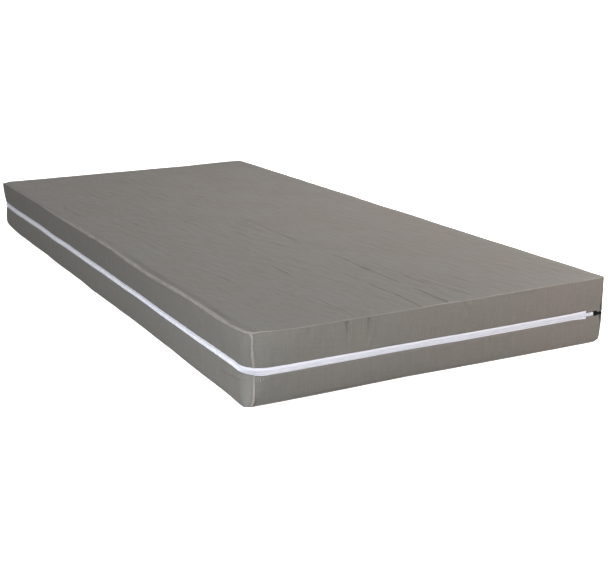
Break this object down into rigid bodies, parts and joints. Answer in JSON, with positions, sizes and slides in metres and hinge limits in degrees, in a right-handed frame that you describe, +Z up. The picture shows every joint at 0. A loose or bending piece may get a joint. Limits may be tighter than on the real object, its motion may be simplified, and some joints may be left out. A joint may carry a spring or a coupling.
{
  "type": "pressure relief mattress",
  "caption": "Pressure relief foam mattress with castellated zones and side bolsters in a zipped, coated stretch-fabric cover whose top opens towards its right side.",
  "frame": {"origin": "centre of the underside of the mattress", "axes": "+Z up; +Y from the foot end to the head end; +X towards the right side, where the cover has no zip and folds open"},
  "size_m": [0.9, 2.0032, 0.15],
  "materials": {
    "cover_fabric": "matt taupe grey, coated stretch weave",
    "zip_tape": "white woven polyester",
    "zip_coil": "white polyester monofilament",
    "zip_stop": "white moulded",
    "slider_metal": "black lacquer",
    "base_foam": "open-cell polyurethane foam",
    "bolster_foam": "firm open-cell polyurethane foam",
    "top_foam": "soft open-cell polyurethane foam"
  },
  "bodies": {
    "base": {"bottom_sheet": "cover_fabric", "bottom_edge_seam": "cover_fabric", "lower_border_foot": "cover_fabric", "lower_border_head": "cover_fabric", "lower_border_left": "cover_fabric", "lower_border_right": "cover_fabric", "lower_seam_foot_left": "cover_fabric", "lower_seam_foot_right": "cover_fabric", "lower_seam_head_left": "cover_fabric", "lower_seam_head_right": "cover_fabric", "lower_zip_garage_foot": "cover_fabric", "lower_zip_garage_head": "cover_fabric", "lower_zip_tape": "zip_tape", "lower_zip_coil": "zip_coil", "upper_tape_end_foot": "zip_tape", "upper_tape_end_head": "zip_tape", "upper_coil_end_foot": "zip_coil", "upper_coil_end_head": "zip_coil", "zip_stop_foot": "zip_stop", "zip_stop_head": "zip_stop", "base_foam": "base_foam", "side_bolster_left": "bolster_foam", "side_bolster_right": "bolster_foam", "heel_zone_foam": "top_foam", "leg_zone_foam": "top_foam", "torso_zone_foam": "top_foam", "head_zone_foam": "top_foam"},
    "top": {"top_sheet": "cover_fabric", "top_edge_seam": "cover_fabric", "upper_border_foot": "cover_fabric", "upper_border_head": "cover_fabric", "upper_border_left": "cover_fabric", "upper_border_right": "cover_fabric", "upper_seam_foot_left": "cover_fabric", "upper_seam_foot_right": "cover_fabric", "upper_seam_head_left": "cover_fabric", "upper_seam_head_right": "cover_fabric", "upper_zip_garage_foot": "cover_fabric", "upper_zip_garage_head": "cover_fabric", "upper_zip_tape": "zip_tape", "upper_zip_coil": "zip_coil"},
    "slider": {"zip_slider": "slider_metal"},
    "pull": {"pull_tab": "slider_metal"}
  },
  "joints": [
    {"name": "cover_open", "type": "hinge", "parent": "base", "child": "top", "pos_m": [0.45, 0, 0.0675], "axis": [0, 1, 0], "range_deg": [0, 130]},
    {"name": "slider_travel", "type": "slide", "parent": "base", "child": "slider", "axis": [-1, 0, 0], "range_m": [0, 0.845]},
    {"name": "pull_swing", "type": "hinge", "parent": "slider", "child": "pull", "pos_m": [0.428, -1.0016, 0.0675], "axis": [0, 0, -1], "range_deg": [0, 180]}
  ]
}
